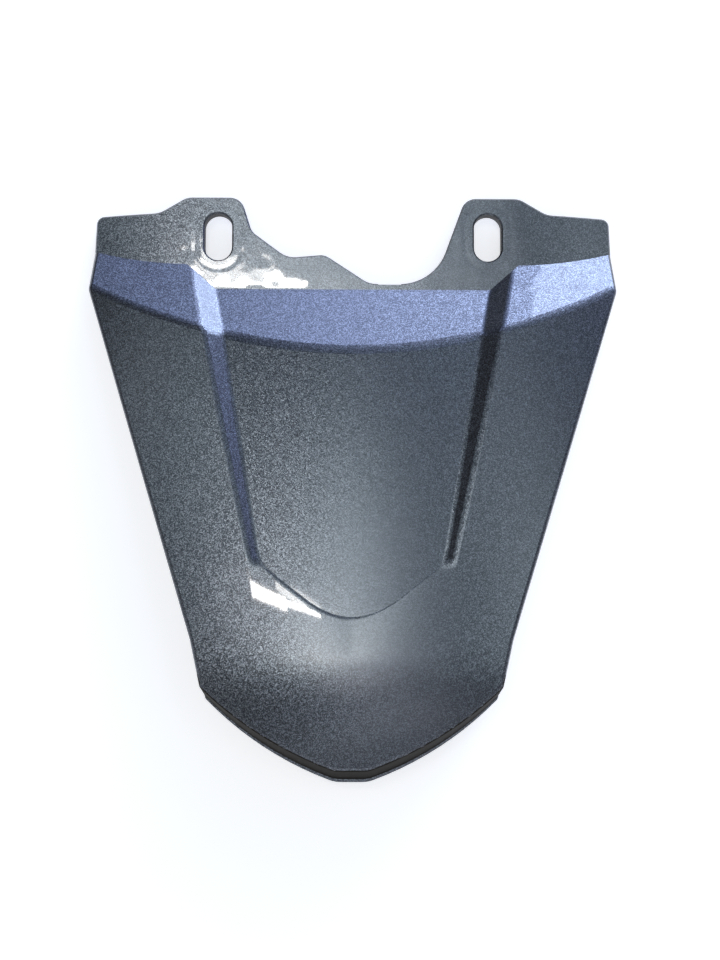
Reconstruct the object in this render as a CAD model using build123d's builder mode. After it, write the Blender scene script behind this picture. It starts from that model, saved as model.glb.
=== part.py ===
from build123d import *
import os
from math import atan, cos, degrees, radians, sin, sqrt, tan

# Motorcycle tail cover: one moulded shell with a bolting flange in front.
# Sizes are in millimetres and angles in degrees. X runs across the cover, Y forward and Z up.
# While it is drawn, Y is zero on the line through the two slots and Z is zero on the lower rim.

# Walls and levels
wall = 2.6
plate = 3.0
flange_top = 7.0
foot_step = 0.6

# Arched top, which climbs to the rear and then rolls down to the tail
crown_radius = 436.0
main_rise = 6.3
roll_start_y = -133.0
roll_radius = 120.0

# Sloping band between the flange and the top
band_slope = 26.5
band_foot_y = -9.4
crease_y = -39.3
crease_round = 7.0

# Plan outline of the shell, right half
foot_end_x = 84.7
foot_end_y = -4.9
foot_in_x = 54.0
foot_sag = 1.0
kink_x = 85.3
kink_y = -18.8
kink_round = 2.5
side_break_x = 48.9
side_break_y = -130.0
corner_x = 44.7
corner_y = -148.0
corner_round = 2.2
tip_x = 5.0
tip_y = -173.1
rear_bulge = 2.7
tip_round = 10.0

# Rear end: a flared wall above a small outward lip
lip_top = 22.5
lip_ledge = 0.9
rear_flare = 22.5

# Sunken centre field: its sides and its pointed end slope at angles of their own
recess_depth = 3.1
recess_rear_depth = 0.95
chamfer_angle = 24.0
recess_end_angle = 12.0
recess_foot_x = 44.6
recess_foot_y = -17.8
recess_front_x = 41.4
recess_front_y = -33.0
recess_rear_x = 28.4
recess_rear_y = -106.5
recess_apex_y = -123.4
recess_corner_round = 16.0
recess_apex_round = 120.0
recess_inner_round = 3.0
recess_crease_round = 10.0
recess_rim_round = 4.0

# Outer edges of the shell
side_round = 1.5

# Flange with two ears
flange_corner_x = 84.2
flange_corner_y = 6.9
flange_corner_round = 2.5
flange_shoulder_x = 63.5
flange_shoulder_y = 7.9
flange_shoulder_round = 8.0
ear_top_y = 13.1
ear_outer_x = 54.5
ear_outer_round = 6.0
ear_inner_x = 36.8
ear_inner_round = 5.0
flange_flat_x = 50.0
flange_end_radius = 262.0
flange_edge_chamfer = 0.5

# Notch between the ears: deep on the right, filled by a web with a hump on the left
neck_x = 33.2
neck_y = 1.8
neck_round = 5.0
web_x = -21.5
web_y = -6.9
web_round = 8.0
hump_x = -9.3
hump_y = -5.8
hump_round = 5.0
notch_left_x = 5.3
notch_left_round = 8.0
notch_right_x = 26.4
notch_right_round = 16.0
notch_bottom_y = -15.4
gate_x = 12.0
gate_width = 7.5
gate_depth = 0.3

# Lengthwise bolt slots, with a raised collar around each below
slot_x = 44.1
slot_width = 9.0
slot_length = 15.6
collar_width = 2.0
collar_height = 1.2

# Stepped locating pegs below the rear corners
peg_x = 31.0
peg_y = -122.0
peg_radius = 3.0
peg_tip_z = 4.0
peg_length = 9.0
peg_tip_chamfer = 0.8
shoulder_radius = 5.0
gusset_width = 1.6
gusset_reach = 9.0

# Low ribs across the underside
rib_width = 1.6
rib_height = 2.5
rib_first_y = -58.0
rib_pitch = 24.0
rib_count = 2

crease_z = flange_top + foot_step + (band_foot_y - crease_y) * tan(radians(band_slope))
span = 2 * kink_x
clear = 2 * crease_z


# How far the arched top falls at a distance from the middle
def arch_drop(x):
    return crown_radius - sqrt(crown_radius**2 - x**2)


def band_height(y):
    return crease_z + (crease_y - y) * tan(radians(band_slope))


def top_height(y, rise):
    return crease_z + (crease_y - y) * tan(radians(rise))


# Edges of a part where its surface folds by between two angles
def folds(solid, low, high):
    sides = {}
    for face in solid.faces():
        for edge in face.edges():
            sides.setdefault(edge, []).append(face)
    found = ShapeList()
    for edge, faces in sides.items():
        if len(faces) == 2:
            middle = edge.position_at(0.5)
            turn = faces[0].normal_at(middle).get_angle(faces[1].normal_at(middle))
            if low < turn < high:
                found.append(edge)
    return found


# Air above the arched top. The arch is carried along the centre line of the cover.
def air_above_top(drop, rise):
    start_y = foot_end_y + span
    start_z = top_height(start_y, rise) - drop
    turn_z = top_height(roll_start_y, rise) - drop
    with BuildPart() as air:
        with BuildLine(Plane.YZ) as path:
            Line((start_y, start_z), (roll_start_y, turn_z))
            JernArc((roll_start_y, turn_z), (-cos(radians(rise)), sin(radians(rise))), roll_radius, 30)
        section = Plane(
            origin=(0, start_y, start_z),
            x_dir=(1, 0, 0),
            z_dir=(0, -cos(radians(rise)), sin(radians(rise))),
        )
        with BuildSketch(section):
            with BuildLine():
                ThreePointArc((-kink_x, -arch_drop(kink_x)), (0, 0), (kink_x, -arch_drop(kink_x)))
                Polyline(
                    (kink_x, -arch_drop(kink_x)),
                    (kink_x, clear),
                    (-kink_x, clear),
                    (-kink_x, -arch_drop(kink_x)),
                )
            make_face()
        sweep(path=path.wires()[0])
    return air.part


# Air above the band, a wedge drawn from the side
def air_above_band(drop):
    back_y = crease_y - clear
    with BuildPart() as air:
        with BuildSketch(Plane.YZ):
            Polygon(
                (foot_end_y + clear, band_height(foot_end_y + clear) - drop),
                (back_y, band_height(back_y) - drop),
                (foot_end_y + clear, band_height(back_y) - drop),
                align=None,
            )
        extrude(amount=span, both=True)
    return air.part


# Plan outline of the shell. The rear can be moved forward by a shift for the flared wall.
def plan_outline(inset, shift):
    side_slope = (side_break_x - corner_x) / (side_break_y - corner_y)
    shifted_x = corner_x + side_slope * shift
    with BuildSketch() as plan:
        with BuildLine():
            Polyline((0, recess_foot_y), (recess_foot_x, recess_foot_y), (foot_in_x, band_foot_y))
            SagittaArc((foot_end_x, foot_end_y), (foot_in_x, band_foot_y), foot_sag)
            Polyline(
                (foot_end_x, foot_end_y),
                (kink_x, kink_y),
                (side_break_x, side_break_y),
                (shifted_x, corner_y + shift),
            )
            SagittaArc((shifted_x, corner_y + shift), (tip_x, tip_y + shift), rear_bulge)
            Polyline((tip_x, tip_y + shift), (0, tip_y + shift), (0, recess_foot_y))
        make_face()
        mirror(about=Plane.YZ)
        if inset:
            offset(amount=-inset, kind=Kind.TANGENT, mode=Mode.REPLACE)
        for x, y, radius in (
            (kink_x, kink_y, kink_round),
            (shifted_x, corner_y + shift, corner_round),
            (tip_x, tip_y + shift, tip_round),
        ):
            if radius > inset:
                ends = [plan.vertices().sort_by_distance((side * x, y))[0] for side in (-1, 1)]
                fillet(ends, radius - inset)
    return plan.sketch


# The closed form of the shell under its top and band; with an inset it is the hollow inside
def closed_form(inset):
    upper = clear - lip_top
    with BuildPart() as form:
        with BuildSketch(Plane.XY.offset(-inset)):
            add(plan_outline(inset, 0))
        extrude(amount=lip_top)
        with BuildSketch(Plane.XY.offset(lip_top - inset)):
            add(plan_outline(inset, lip_ledge))
        with BuildSketch(Plane.XY.offset(clear - inset)):
            add(plan_outline(inset, lip_ledge + upper * tan(radians(rear_flare))))
        loft(ruled=True)
        add(air_above_band(inset / cos(radians(band_slope))), mode=Mode.SUBTRACT)
        add(air_above_top(inset / cos(radians(main_rise)), main_rise), mode=Mode.SUBTRACT)
        crease = folds(form.part, band_slope / 2, band_slope).filter_by_position(Axis.Z, lip_top / 2, clear)
        fillet(crease.sort_by(SortBy.LENGTH)[-1], crease_round)
    return form.part


# One dish of the sunken field: an outline on a tilted floor, with sides that slope at an angle
def dish(points, floor, angle, inset, low, high):
    with BuildPart() as cut:
        for height in (low, high):
            grow = inset * tan(radians(angle / 2)) + height / tan(radians(angle))
            with BuildSketch(floor.offset(height)):
                Polygon(*points, align=None)
                offset(amount=grow, kind=Kind.INTERSECTION, mode=Mode.REPLACE)
        loft(ruled=True)
    return cut.part


# What the sunken field takes away: a dish under the band and one under the arched top
def sunken_field(inset):
    gain = (recess_depth - recess_rear_depth) / (crease_y - recess_apex_y)
    rise = degrees(atan(tan(radians(main_rise)) + gain))
    high = recess_depth + wall
    run = high / tan(radians(chamfer_angle))

    band_z = crease_z - recess_depth - inset / cos(radians(band_slope))
    band_floor = Plane(
        origin=(0, crease_y, band_z),
        x_dir=(1, 0, 0),
        z_dir=(0, sin(radians(band_slope)), cos(radians(band_slope))),
    )
    lean = (recess_foot_x - recess_front_x) / (recess_foot_y - recess_front_y)
    near_y = recess_foot_y + run
    far_y = crease_y - run
    near = (recess_foot_x + lean * run, (near_y - crease_y) / cos(radians(band_slope)))
    far = (recess_front_x - lean * (recess_front_y - far_y), (far_y - crease_y) / cos(radians(band_slope)))

    top_drop = recess_depth + inset / cos(radians(rise))
    front_z = top_height(recess_front_y, rise) - top_drop - arch_drop(recess_front_x)
    rear_z = top_height(recess_rear_y, rise) - top_drop - arch_drop(recess_rear_x)
    climb = atan((rear_z - front_z) / (recess_front_y - recess_rear_y))
    top_floor = Plane(
        origin=(0, recess_front_y, front_z),
        x_dir=(1, 0, 0),
        z_dir=(0, sin(climb), cos(climb)),
    )
    spread = (recess_front_x - recess_rear_x) / (recess_front_y - recess_rear_y)
    front = (recess_front_x + spread * run, run)
    rear = (recess_rear_x, (recess_rear_y - recess_front_y) / cos(climb))
    apex = (0, (recess_apex_y - recess_front_y) / cos(climb))
    past_y = apex[1] - 2 * high / tan(radians(recess_end_angle))
    past = (recess_rear_x + spread * (past_y - rear[1]), past_y)
    wide = (span, apex[1] + (rear[1] - apex[1]) * span / recess_rear_x)

    with BuildPart() as band_dish:
        corners = [near, far, (-far[0], far[1]), (-near[0], near[1])]
        add(dish(corners, band_floor, chamfer_angle, inset, 0, high))
        if not inset:
            fillet(folds(band_dish.part, chamfer_angle / 2, 2 * chamfer_angle), recess_inner_round)

    with BuildPart() as cut:
        low = -recess_rear_depth
        corners = [front, past, (-past[0], past[1]), (-front[0], front[1])]
        add(dish(corners, top_floor, chamfer_angle, inset, low, 2 * high))
        corners = [apex, wide, (span, span), (-span, span), (-wide[0], wide[1])]
        add(dish(corners, top_floor, recess_end_angle, inset, low, 2 * high), mode=Mode.INTERSECT)
        upright = cut.edges().filter_by(lambda edge: abs((edge @ 1 - edge @ 0).Z) > high).sort_by(Axis.Y)
        fillet(upright[0], recess_apex_round)
        fillet(upright[1:3], recess_corner_round)
        add(air_above_top(top_drop, rise), mode=Mode.INTERSECT)
        if not inset:
            fillet(folds(cut.part, recess_end_angle / 2, 2 * chamfer_angle), recess_inner_round)
        add(band_dish.part)
        if not inset:
            crease = folds(cut.part, band_slope / 3, 2 * band_slope)
            fillet(crease.filter_by_position(Axis.Z, 0, crease_z), recess_crease_round)
    return cut.part


# Flange plan: a straight outer stretch, an ear round each slot and the uneven notch between
def flange_outline():
    ear_corners = [
        ((flange_corner_x, flange_corner_y), flange_corner_round),
        ((flange_shoulder_x, flange_shoulder_y), flange_shoulder_round),
        ((ear_outer_x, ear_top_y), ear_outer_round),
        ((ear_inner_x, ear_top_y), ear_inner_round),
    ]
    left_corners = [((-x, y), radius) for (x, y), radius in ear_corners]
    notch_corners = [
        ((-neck_x, neck_y), neck_round),
        ((web_x, web_y), web_round),
        ((hump_x, hump_y), hump_round),
        ((notch_left_x, notch_bottom_y), notch_left_round),
        ((notch_right_x, notch_bottom_y), notch_right_round),
    ]
    corners = left_corners + notch_corners + ear_corners[::-1]
    back_y = recess_foot_y - wall
    with BuildSketch() as plan:
        Polygon(
            (-foot_end_x + wall, back_y),
            (-foot_end_x, foot_end_y),
            *[point for point, radius in corners],
            (foot_end_x, foot_end_y),
            (foot_end_x - wall, back_y),
            align=None,
        )
        for point, radius in corners:
            fillet(plan.vertices().sort_by_distance(point)[0], radius)
    return plan.sketch


# Edges round the top of a plate, where it meets its upright sides
def top_rims(solid):
    top_edges = solid.faces().filter_by(lambda face: face.normal_at().Z > 0.5).edges()
    return ShapeList([edge for edge in folds(solid, 60, 120) if edge in top_edges])


# Flange plate: its section across the cover is flat with ends that curve down
def flange():
    end_y = ear_top_y + wall
    with BuildPart() as bent:
        with BuildSketch(Plane.XZ.offset(-end_y)):
            with BuildLine() as top_line:
                Line((0, flange_top), (flange_flat_x, flange_top))
                JernArc(
                    (flange_flat_x, flange_top),
                    (1, 0),
                    flange_end_radius,
                    -degrees(atan((kink_x - flange_flat_x) / flange_end_radius)) - 1,
                )
                offset(amount=plate, side=Side.RIGHT)
            make_face()
            mirror(about=Plane.YZ)
        extrude(amount=end_y - recess_foot_y + clear)
        with BuildSketch():
            add(flange_outline())
        extrude(amount=clear, mode=Mode.INTERSECT)
        with BuildSketch():
            with Locations((slot_x, 0), (-slot_x, 0)):
                SlotOverall(slot_length, slot_width, rotation=90)
        extrude(amount=clear, mode=Mode.SUBTRACT)
        rims = top_rims(bent.part).filter_by(lambda edge: edge.center().Y > recess_foot_y)
        chamfer(rims.filter_by(lambda edge: abs(edge.center().X) < flange_shoulder_x), flange_edge_chamfer)
        with BuildSketch():
            with Locations((gate_x, notch_bottom_y)):
                Rectangle(gate_width, 2 * gate_depth)
        extrude(amount=clear, mode=Mode.SUBTRACT)
        with BuildSketch(Plane.XY.offset(flange_top - plate)):
            with Locations((slot_x, 0), (-slot_x, 0)):
                SlotOverall(slot_length + 2 * collar_width, slot_width + 2 * collar_width, rotation=90)
                SlotOverall(slot_length, slot_width, rotation=90, mode=Mode.SUBTRACT)
        extrude(amount=-collar_height)
    return bent.part


# A stepped peg that pushes into a rubber grommet, with two gussets up to the top
def peg(x):
    middle_z = top_height(peg_y, main_rise) - wall / 2
    root_z = middle_z - arch_drop(peg_x + shoulder_radius)
    gusset_x = shoulder_radius + gusset_reach
    shoulder_z = peg_tip_z + peg_length
    with BuildPart() as stem:
        with BuildSketch(Plane.XY.offset(peg_tip_z)):
            with Locations((x, peg_y)):
                Circle(peg_radius)
        extrude(amount=peg_length)
        chamfer(stem.edges().sort_by(Axis.Z)[0], peg_tip_chamfer)
        with BuildSketch(Plane.XY.offset(shoulder_z)):
            with Locations((x, peg_y)):
                Circle(shoulder_radius)
        extrude(amount=root_z - shoulder_z)
        with BuildSketch(Plane.XZ.offset(-peg_y)):
            Polygon(
                (x - shoulder_radius, shoulder_z),
                (x + shoulder_radius, shoulder_z),
                (x + gusset_x, middle_z - arch_drop(x + gusset_x)),
                (x - gusset_x, middle_z - arch_drop(x - gusset_x)),
                align=None,
            )
        extrude(amount=gusset_width / 2, both=True)
    return stem.part


hollow = closed_form(wall)
with BuildPart() as room:
    add(hollow)
    add(sunken_field(wall), mode=Mode.SUBTRACT)

# Low ribs: slices of the layer just under the inner face
with BuildPart() as ribs:
    add(room.part)
    add(room.part.moved(Location((0, 0, -rib_height))), mode=Mode.SUBTRACT)
    with BuildPart(mode=Mode.INTERSECT):
        with Locations((0, rib_first_y - rib_pitch * (rib_count - 1) / 2, 0)):
            with GridLocations(span, rib_pitch, 1, rib_count):
                Box(span, rib_width, 2 * clear, align=(Align.CENTER, Align.CENTER, Align.CENTER))

with BuildPart() as drawn:
    add(closed_form(0))
    add(sunken_field(0), mode=Mode.SUBTRACT)
    rims = folds(drawn.part, recess_end_angle * 0.7, chamfer_angle * 1.5)
    rims = rims.filter_by_position(Axis.X, -foot_in_x, foot_in_x).filter_by_position(Axis.Z, flange_top, clear)
    fillet(rims, recess_rim_round)
    side_edge = folds(drawn.part, 60, 100).filter_by_position(Axis.Y, side_break_y, kink_y)
    side_edge = side_edge.filter_by_position(Axis.Z, flange_top, clear)
    fillet(side_edge, side_round)

    # the shell is open in front, below the flange
    with BuildSketch():
        with Locations((0, recess_foot_y - wall)):
            Rectangle(2 * (foot_end_x - wall), clear, align=(Align.CENTER, Align.MIN))
    extrude(amount=flange_top - plate, mode=Mode.SUBTRACT)
    add(flange())
    add(room.part, mode=Mode.SUBTRACT)
    add(ribs.part)
    add(peg(peg_x))
    add(peg(-peg_x))

# The finished cover stands on its rim, with its middle over the origin
box = drawn.part.bounding_box()
with BuildPart() as tail_cover:
    add(drawn.part.moved(Location((-box.center().X, -box.center().Y, -box.min.Z))))
tail_cover.part.label = "tail_cover"

os.makedirs("parts", exist_ok=True)
export_step(tail_cover.part, "parts/tail_cover.step")
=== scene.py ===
import math
import bpy
from mathutils import Matrix, Vector
from mathutils.bvhtree import BVHTree

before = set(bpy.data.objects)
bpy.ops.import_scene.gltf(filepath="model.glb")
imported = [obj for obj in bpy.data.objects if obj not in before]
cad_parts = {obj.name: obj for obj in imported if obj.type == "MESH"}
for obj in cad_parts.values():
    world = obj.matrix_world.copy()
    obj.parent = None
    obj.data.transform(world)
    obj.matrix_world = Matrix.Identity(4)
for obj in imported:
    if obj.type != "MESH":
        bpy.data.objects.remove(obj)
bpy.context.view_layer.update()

# Camera, fitted to the photograph: it looks almost straight down on the cover
PHOTO_HEIGHT = 960
FOCAL_PX = 1266.554
CAMERA_PLACE = Vector((-0.000256, -0.031697, 0.413758))
CAMERA_AIM = Vector((0.0024417, -0.0003143, 0.0150))
CAMERA_ROLL = 0.0031096
CAMERA_NEAR = 0.01
CAMERA_FAR = 50.0
SENSOR_WIDTH = 36.0

# Colours, linear
PAINT_DARK = (0.052, 0.058, 0.069)
PAINT_LIGHT = (0.238, 0.262, 0.296)
PAINT_EDGE = (0.030, 0.032, 0.042)
PLASTIC = (0.022, 0.022, 0.024)
# painted shade: the rear wall's dark brownish colour stands in for the dark reflection on it
EDGE_PAINTED_SHADE = (0.014, 0.011, 0.008)
FLOOR = (0.86, 0.86, 0.86)
NEUTRAL = (1.0, 1.0, 1.0)
LAMP_WHITE = (1.0, 0.97, 0.93)
WINDOW_BLUE = (0.58, 0.7, 1.0)

# Floor: its size in metres, and what it adds to its own light for the camera and for reflections
FLOOR_SIZE = 8.0
FLOOR_GLOW = 0.6

# Light of the room: an even part and soft glows, each with azimuth, elevation and half width
# in degrees, and its colour
AMBIENT = 0.06
GLOWS = [
    # overhead
    (330, 82, 4, (2.0, 2.1, 2.0)),
    (348, 80, 4, (3.6, 3.7, 3.7)),
    (0, 74, 5, (1.6, 1.9, 2.0)),
    (0, 90, 4, (1.4, 1.4, 1.5)),
    (320, 74, 5, (0.8, 0.75, 0.75)),
    (30, 82, 4, (0.8, 0.8, 0.9)),
    (155, 78, 6, (0.7, 0.75, 0.85)),
    (180, 70, 6, (0.45, 0.5, 0.55)),
    # half way up
    (315, 64, 6, (0.6, 0.75, 0.85)),
    (70, 64, 6, (1.3, 1.5, 1.6)),
    (45, 64, 6, (0.5, 0.6, 0.65)),
    (308, 56, 4, (0.5, 0.55, 0.6)),
    (15, 50, 12, (0.25, 0.35, 0.5)),
    # daylight in front
    (0, 24, 6, (1.7, 2.1, 3.5)),
    (8, 23, 5, (0.8, 0.95, 1.4)),
    (345, 25, 9, (0.4, 0.5, 0.85)),
    (15, 30, 12, (0.8, 0.85, 1.3)),
    (30, 10, 12, (0.4, 0.4, 0.5)),
    (50, 30, 12, (0.5, 0.6, 1.0)),
    (62, 10, 12, (0.6, 0.7, 1.2)),
    # sides and back
    (115, 30, 20, (0.5, 0.53, 0.6)),
    (180, 30, 22, (0.8, 0.85, 0.95)),
    (250, 30, 20, (0.6, 0.63, 0.7)),
]

# Lamps: what they aim at, and how far off they hang
MIDDLE = Vector((0, 0, 0.015))
TUBE_DISTANCE = 20.0
TUBE_RADIANCE = 40.0
TUBE_BACK_RADIANCE = 14.0
WINDOW_DISTANCE = 3.0
WINDOW_AZIMUTH = 25.5
WINDOW_ELEVATION = 16.0
WINDOW_WIDTH = 1.55
WINDOW_HEIGHT = 1.38
WINDOW_RADIANCE = 7.0

# Metallic paint: cells of its flakes for each metre, how far they tilt, how rare the bright ones
# are, and how fast the paint darkens towards its edges
FLAKE_SCALE = 4000.0
FLAKE_TILT = 0.11
FLAKE_RARITY = 2.0
FLOP_POWER = 1.5
PAINT_METAL = 0.9
PAINT_ROUGHNESS = 0.28
COAT_ROUGHNESS = 0.03
COAT_IOR = 1.5

# Arched top as in the solid, in millimetres and as slopes
CROWN_RADIUS = 436.0
TOP_SLOPE = 0.1104
FIELD_SLOPE = 0.13597
FIELD_HEIGHT = 24.93

# Pointed end of the sunken field, in millimetres: its side line and its end line, each by a point
# and the way outwards, and how tightly they join, at the corners and at the tip
SIDE_POINT = (28.4, -26.5)
SIDE_NORMAL = (0.985, -0.174)
END_POINT = (12.5, -38.5)
END_NORMAL = (0.6123, -0.7907)
CORNER_BLEND = 0.77
TIP_BLEND = 2.0

# The thin line at its foot and the soft shoulder, as slopes, heights and lengths
LINE_SLOPE = 0.16
LINE_HEIGHT = 0.12
LINE_FADE = (10.0, -8.0)
LINE_REST = 0.15
SHOULDER_SLOPE = 0.0317
SHOULDER_LENGTH = 13.9

# Where the shading of the pointed end fades in and out, in millimetres
ABOVE_FLOOR = (0.03, 0.08)
FRONT_FADE = (-24.5, -29.5)
REAR_FADE = (-58.0, -52.0)
OUTER_FADE = (26.0, 18.0)
SIDE_FADE = (45.0, 38.0)
TOP_TURN = 0.9

# Small unevenness: heights in metres, noise for each metre, places in millimetres
PEEL_HEIGHT = 0.0000012
PEEL_SCALE = 450.0
LUMP_HEIGHT = 0.00009
LUMP_SCALE = 95.0
FLANGE_FADE = (61.0, 63.0)
RING_HEIGHT = 0.000012
RING_GAP = 3.0
SLOT_X = 44.1
SLOT_Y = 80.0
SLOT_REACH = 3.3
SLOT_RADIUS = 4.5

# Where the painted shade on the rear wall starts, in metres and as the upward part of the normal
REAR_EDGE_Y = -0.060
REAR_EDGE_TURN = 0.75

# Which faces count as hidden: how far they turn down, how upright they are, and how far away
# another wall may be, in metres
HIDDEN_TURN = -0.25
UPRIGHT_TURN = 0.25
HIDDEN_REACH = 0.25
HIDDEN_STEP = 0.00005


# Shader nodes; the owner is a material or the world

def new_material(name):
    material = bpy.data.materials.new(name)
    material.use_nodes = True
    material.node_tree.nodes.clear()
    return material


def link(owner, source, target):
    owner.node_tree.links.new(getattr(source, "socket", source), target)


# Constants go in as they are, and sockets and numbers by a link
def feed(owner, value, target):
    if isinstance(value, (int, float, tuple, Vector)):
        target.default_value = value
    else:
        link(owner, value, target)


def add_node(owner, kind, inputs=None, **settings):
    node = owner.node_tree.nodes.new(kind)
    for key, value in settings.items():
        setattr(node, key, value)
    for key, value in (inputs or {}).items():
        feed(owner, value, node.inputs[key])
    return node


# A number that the shader works out, so that formulas read as plain arithmetic
class Number:
    def __init__(self, owner, socket):
        self.owner = owner
        self.socket = socket

    def work(self, operation, *others):
        return calc(self.owner, operation, self, *others)

    def __add__(self, other):
        return self.work("ADD", other)

    def __sub__(self, other):
        return self.work("SUBTRACT", other)

    def __rsub__(self, other):
        return calc(self.owner, "SUBTRACT", other, self)

    def __mul__(self, other):
        return self.work("MULTIPLY", other)

    def __truediv__(self, other):
        return self.work("DIVIDE", other)

    def __rtruediv__(self, other):
        return calc(self.owner, "DIVIDE", other, self)


def calc(owner, operation, *values):
    node = add_node(owner, "ShaderNodeMath", operation=operation)
    for value, target in zip(values, node.inputs):
        feed(owner, value, target)
    return Number(owner, node.outputs["Value"])


def vector_calc(owner, operation, *values):
    node = add_node(owner, "ShaderNodeVectorMath", operation=operation)
    for value, target in zip(values, node.inputs):
        feed(owner, value, target)
    return node.outputs["Vector"]


def split_vector(owner, vector):
    parts = add_node(owner, "ShaderNodeSeparateXYZ", {"Vector": vector})
    return [Number(owner, parts.outputs[axis]) for axis in "XYZ"]


# Rises softly from 0 to 1 between two values
def fade(value, start, stop):
    inputs = {"From Min": start, "From Max": stop, "Value": value}
    node = add_node(value.owner, "ShaderNodeMapRange", inputs, interpolation_type="SMOOTHSTEP")
    return Number(value.owner, node.outputs["Result"])


# 1 at zero, and falls away on both sides
def bell(value):
    return (value * value * -1.0).work("EXPONENT")


def noise(owner, place, scale, detail):
    inputs = {"Scale": scale, "Detail": detail, "Vector": place}
    node = add_node(owner, "ShaderNodeTexNoise", inputs)
    return Number(owner, node.outputs["Fac"])


def add_shaders(owner, first, second):
    node = add_node(owner, "ShaderNodeAddShader", {0: first, 1: second})
    return node.outputs["Shader"]


def mix_shaders(owner, factor, first, second):
    node = add_node(owner, "ShaderNodeMixShader", {0: factor, 1: first, 2: second})
    return node.outputs["Shader"]


def finish_material(material, shader):
    add_node(material, "ShaderNodeOutputMaterial", {"Surface": shader})
    return material


# Paint

# Distance outwards from a line through a point
def from_line(x, y, point, normal):
    return (x - point[0]) * normal[0] + (y - point[1]) * normal[1]


# Distance outwards from the end of the field, and how much of it the end line decides
def from_end(across, y):
    side = from_line(across, y, SIDE_POINT, SIDE_NORMAL)
    end = from_line(across, y, END_POINT, END_NORMAL)
    odds = ((end - side) * CORNER_BLEND).work("MINIMUM", 40.0).work("EXPONENT") + 1.0
    out = side + odds.work("LOGARITHM", math.e) / CORNER_BLEND
    return out.work("MAXIMUM", 0.0), 1.0 - 1.0 / odds


def height_over_field(x, y, z):
    arch = (CROWN_RADIUS**2 - x * x).work("SQRT")
    return z - (FIELD_HEIGHT - y * FIELD_SLOPE + arch - CROWN_RADIUS)


# The pointed end of the sunken field shows as a thin line and a broad, soft shoulder, so beyond
# its foot the surface normal comes from a formula and not from the facets
def soft_end(place, surface_normal):
    owner = place[0].owner
    x, y, z = place
    across = (x * x + TIP_BLEND).work("SQRT")
    out, share = from_end(across, y)
    up = height_over_field(x, y, z)

    line = bell(up / LINE_HEIGHT) * LINE_SLOPE * (fade(x, *LINE_FADE) + LINE_REST)
    slope = (out / -SHOULDER_LENGTH).work("EXPONENT") * SHOULDER_SLOPE + line
    turn_x = share * (END_NORMAL[0] - SIDE_NORMAL[0]) + SIDE_NORMAL[0]
    turn_y = share * (END_NORMAL[1] - SIDE_NORMAL[1]) + SIDE_NORMAL[1]
    normal = add_node(owner, "ShaderNodeCombineXYZ", {
        "X": x / CROWN_RADIUS - slope * (turn_x * (x / across)),
        "Y": TOP_SLOPE - slope * turn_y,
        "Z": 1.0,
    })
    normal = vector_calc(owner, "NORMALIZE", normal.outputs["Vector"])
    to_world = {"vector_type": "NORMAL", "convert_from": "OBJECT", "convert_to": "WORLD"}
    turned = add_node(owner, "ShaderNodeVectorTransform", {"Vector": normal}, **to_world)

    above = fade(up, *ABOVE_FLOOR)
    on_top = split_vector(owner, surface_normal)[2].work("GREATER_THAN", TOP_TURN)
    lengthwise = fade(y, *FRONT_FADE) * fade(y, *REAR_FADE)
    near = fade(out, *OUTER_FADE) * fade(across, *SIDE_FADE)
    mix = add_node(owner, "ShaderNodeMix", data_type="VECTOR")
    link(owner, above * on_top * (lengthwise * near), mix.inputs["Factor"])
    link(owner, surface_normal, mix.inputs["A"])
    link(owner, turned.outputs["Vector"], mix.inputs["B"])
    return mix.outputs["Result"]


# Unevenness of the moulding: orange peel, lumps on the flange and a sink round each slot
def unevenness(owner, where, place):
    x, y, z = place
    peel = noise(owner, where, PEEL_SCALE, 2.0) * PEEL_HEIGHT
    lump = noise(owner, where, LUMP_SCALE, 1.0) * fade(y, *FLANGE_FADE) * LUMP_HEIGHT

    beside = x.work("ABSOLUTE") - SLOT_X
    ahead = ((y - SLOT_Y).work("ABSOLUTE") - SLOT_REACH).work("MAXIMUM", 0.0)
    from_ring = (beside * beside + ahead * ahead).work("SQRT") - (SLOT_RADIUS + RING_GAP)
    return peel + lump + bell(from_ring) * -RING_HEIGHT


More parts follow.
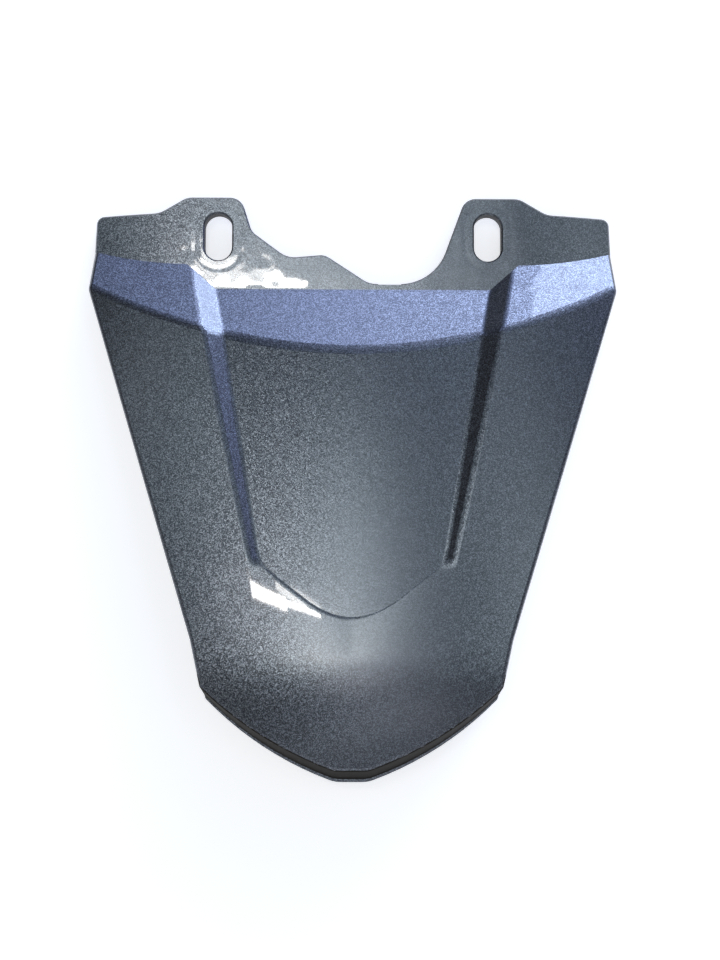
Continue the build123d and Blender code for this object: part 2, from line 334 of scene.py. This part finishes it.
def paint():
    material = new_material("flake_paint")
    where = add_node(material, "ShaderNodeTexCoord").outputs["Object"]
    place = [axis * 1000.0 for axis in split_vector(material, where)]
    flakes = {"Scale": FLAKE_SCALE, "Vector": where}
    cells = add_node(material, "ShaderNodeTexVoronoi", flakes).outputs["Color"]

    split = add_node(material, "ShaderNodeSeparateColor", {"Color": cells})
    brightness = Number(material, split.outputs["Red"]).work("POWER", FLAKE_RARITY)
    tone = add_node(material, "ShaderNodeMix", data_type="RGBA")
    link(material, brightness, tone.inputs["Factor"])
    tone.inputs["A"].default_value = (*PAINT_DARK, 1)
    tone.inputs["B"].default_value = (*PAINT_LIGHT, 1)

    surface = add_node(material, "ShaderNodeNewGeometry")
    bump = add_node(material, "ShaderNodeBump", {
        "Distance": 1.0,
        "Height": unevenness(material, where, place),
        "Normal": soft_end(place, surface.outputs["Normal"]),
    })

    centred = vector_calc(material, "SUBTRACT", cells, (0.5, 0.5, 0.5))
    tilted = add_node(material, "ShaderNodeVectorMath", operation="SCALE")
    link(material, centred, tilted.inputs[0])
    tilted.inputs["Scale"].default_value = FLAKE_TILT
    facing = vector_calc(material, "ADD", bump.outputs["Normal"], tilted.outputs["Vector"])
    flake_normal = vector_calc(material, "NORMALIZE", facing)

    # flakes lie flat in the paint, so it darkens where it is seen from the side
    grazing = add_node(material, "ShaderNodeLayerWeight", {"Blend": 0.5})
    flop = Number(material, grazing.outputs["Facing"]).work("POWER", FLOP_POWER)
    colour = add_node(material, "ShaderNodeMix", data_type="RGBA")
    link(material, flop, colour.inputs["Factor"])
    link(material, tone.outputs["Result"], colour.inputs["A"])
    colour.inputs["B"].default_value = (*PAINT_EDGE, 1)

    shader = add_node(material, "ShaderNodeBsdfPrincipled", {
        "Base Color": colour.outputs["Result"],
        "Metallic": PAINT_METAL,
        "Roughness": PAINT_ROUGHNESS,
        "Normal": flake_normal,
        "Coat Weight": 1.0,
        "Coat Roughness": COAT_ROUGHNESS,
        "Coat IOR": COAT_IOR,
        "Coat Normal": bump.outputs["Normal"],
    })
    return finish_material(material, shader.outputs["BSDF"])


# Unpainted surfaces

def dull_plastic(name, colour, roughness, specular, grain_scale, grain_detail, strength, depth):
    material = new_material(name)
    where = add_node(material, "ShaderNodeTexCoord").outputs["Object"]
    bump = add_node(material, "ShaderNodeBump", {
        "Strength": strength,
        "Distance": depth,
        "Height": noise(material, where, grain_scale, grain_detail),
    })
    shader = add_node(material, "ShaderNodeBsdfPrincipled", {
        "Base Color": (*colour, 1),
        "Roughness": roughness,
        "Specular IOR Level": specular,
        "Normal": bump.outputs["Normal"],
    })
    return finish_material(material, shader.outputs["BSDF"])


# The underside is bare plastic: faces that look down, or across the hollow at another wall.
# The wall below the rolled rear edge gets painted shade: a dark, dull colour that stands in for
# the dark reflection there.
def split_finish(piece, outside, inside, edge):
    mesh = piece.data
    mesh.materials.clear()
    for material in (outside, inside, edge):
        mesh.materials.append(material)
    corners = [vertex.co for vertex in mesh.vertices]
    tree = BVHTree.FromPolygons(corners, [face.vertices for face in mesh.polygons])
    for face in mesh.polygons:
        start = face.center + face.normal * HIDDEN_STEP
        faces_wall = tree.ray_cast(start, face.normal, HIDDEN_REACH)[0] is not None
        upright = abs(face.normal.z) < UPRIGHT_TURN
        if face.normal.z <= HIDDEN_TURN or (upright and faces_wall):
            face.material_index = 1
        # the rest of the rear wall below the rolled edge gets the painted shade
        elif face.center.y < REAR_EDGE_Y and face.normal.z < REAR_EDGE_TURN:
            face.material_index = 2
        else:
            face.material_index = 0


# Floor: white to the camera and in reflections, clear from below, and it keeps the shadow

def floor_material():
    material = new_material("pale_floor")
    diffuse = add_node(material, "ShaderNodeBsdfDiffuse", {"Color": (*FLOOR, 1)})
    rays = add_node(material, "ShaderNodeLightPath")
    camera, glossy, clear_ray = [
        Number(material, rays.outputs[kind])
        for kind in ("Is Camera Ray", "Is Glossy Ray", "Is Transmission Ray")
    ]
    seen = (camera + glossy + clear_ray).work("MINIMUM", 1.0)
    glow = add_node(material, "ShaderNodeEmission", {"Strength": seen * FLOOR_GLOW})
    lit = add_shaders(material, diffuse.outputs["BSDF"], glow.outputs["Emission"])
    clear = add_node(material, "ShaderNodeBsdfTransparent")
    side = add_node(material, "ShaderNodeNewGeometry")
    shader = mix_shaders(material, side.outputs["Backfacing"], lit, clear.outputs["BSDF"])
    return finish_material(material, shader)


def make_floor(size):
    half = size / 2
    corners = [(-half, -half, 0), (half, -half, 0), (half, half, 0), (-half, half, 0)]
    mesh = bpy.data.meshes.new("floor")
    mesh.from_pydata(corners, [], [(0, 1, 2, 3)])
    mesh.materials.append(floor_material())
    floor = bpy.data.objects.new("floor", mesh)
    bpy.context.scene.collection.objects.link(floor)


# World

def background(world, colour, strength):
    inputs = {"Color": (*colour, 1), "Strength": strength}
    return add_node(world, "ShaderNodeBackground", inputs).outputs["Background"]


# Way to a place in the sky; azimuth 0 is in front of the cover, and 90 on its right
def from_angles(azimuth, elevation):
    a = math.radians(azimuth)
    e = math.radians(elevation)
    return Vector((math.sin(a) * math.cos(e), math.cos(a) * math.cos(e), math.sin(e)))


# Soft glows of the room; the camera itself sees white
def make_world():
    world = bpy.data.worlds.new("studio")
    world.use_nodes = True
    world.node_tree.nodes.clear()
    looking = add_node(world, "ShaderNodeTexCoord").outputs["Generated"]
    total = background(world, NEUTRAL, AMBIENT)
    for azimuth, elevation, half_width, colour in GLOWS:
        towards = add_node(world, "ShaderNodeVectorMath", operation="DOT_PRODUCT")
        link(world, looking, towards.inputs[0])
        towards.inputs[1].default_value = from_angles(azimuth, elevation)
        sharpness = math.log(2) / (1 - math.cos(math.radians(half_width)))
        fall = (Number(world, towards.outputs["Value"]) - 1.0) * sharpness
        total = add_shaders(world, total, background(world, colour, fall.work("EXPONENT")))
    rays = add_node(world, "ShaderNodeLightPath")
    white = background(world, NEUTRAL, 1.0)
    shader = mix_shaders(world, rays.outputs["Is Camera Ray"], total, white)
    add_node(world, "ShaderNodeOutputWorld", {"Surface": shader})
    bpy.context.scene.world = world


# Camera

def camera_axes():
    back = (CAMERA_PLACE - CAMERA_AIM).normalized()
    right = Vector((0, 1, 0)).cross(back).normalized()
    up = back.cross(right)
    turn = Matrix.Rotation(CAMERA_ROLL, 3, back)
    return turn @ right, turn @ up, back


def make_camera():
    data = bpy.data.cameras.new("camera")
    data.sensor_width = SENSOR_WIDTH
    data.lens = SENSOR_WIDTH * FOCAL_PX / PHOTO_HEIGHT
    data.clip_start = CAMERA_NEAR
    data.clip_end = CAMERA_FAR
    camera = bpy.data.objects.new("camera", data)
    turn = Matrix(camera_axes()).transposed()
    camera.matrix_world = Matrix.Translation(CAMERA_PLACE) @ turn.to_4x4()
    bpy.context.scene.collection.objects.link(camera)
    bpy.context.scene.camera = camera


# Lamps

# The strength is a radiance, so a lamp looks as bright at any size
def area_light(name, place, turn, width, height, colour, radiance):
    data = bpy.data.lights.new(name, "AREA")
    data.shape = "RECTANGLE"
    data.size = width
    data.size_y = height
    data.color = colour
    data.energy = radiance * math.pi * width * height
    light = bpy.data.objects.new(name, data)
    light.matrix_world = Matrix.Translation(place) @ turn.to_4x4()
    bpy.context.scene.collection.objects.link(light)


# A far lamp given by the sideways and forward slope of the way to it, with its half sizes as
# slopes; its long side stays level, turned by the spin
def tube(name, slope_x, slope_y, half_x, half_y, radiance, spin):
    way = Vector((slope_x, slope_y, math.sqrt(1 - slope_x**2 - slope_y**2)))
    long_side = Vector((math.cos(spin), math.sin(spin), 0))
    long_side = (long_side - way * long_side.dot(way)).normalized()
    turn = Matrix((long_side, way.cross(long_side), way)).transposed()
    width = 2 * half_x * TUBE_DISTANCE
    height = 2 * half_y * TUBE_DISTANCE
    place = MIDDLE + way * TUBE_DISTANCE
    area_light(name, place, turn, width, height, LAMP_WHITE, radiance)


def window():
    way = from_angles(WINDOW_AZIMUTH, WINDOW_ELEVATION)
    turn = (-way).to_track_quat("-Z", "Y").to_matrix()
    place = MIDDLE + way * WINDOW_DISTANCE
    area_light("window", place, turn, WINDOW_WIDTH, WINDOW_HEIGHT, WINDOW_BLUE, WINDOW_RADIANCE)


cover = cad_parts["tail_cover"]
bare_plastic = dull_plastic("bare_plastic", PLASTIC, 0.55, 0.5, 1800.0, 4.0, 0.25, 0.0001)
# painted shade for the rear wall below the rolled edge, dark and dull
edge_painted_shade = dull_plastic("edge_painted_shade", EDGE_PAINTED_SHADE, 0.5, 0.03, 900.0, 3.0, 1.0, 0.00003)
split_finish(cover, paint(), bare_plastic, edge_painted_shade)
make_floor(FLOOR_SIZE)
make_world()
make_camera()

tube("tube_left", -0.1530, 0.2315, 0.0410, 0.0090, TUBE_RADIANCE, -0.076)
tube("tube_right", -0.0760, 0.2320, 0.0430, 0.0041, TUBE_RADIANCE, 0.0)
tube("tube_back", -0.0980, 0.2440, 0.0350, 0.0075, TUBE_BACK_RADIANCE, -0.26)
window()

scene = bpy.context.scene
scene.view_settings.view_transform = "Standard"
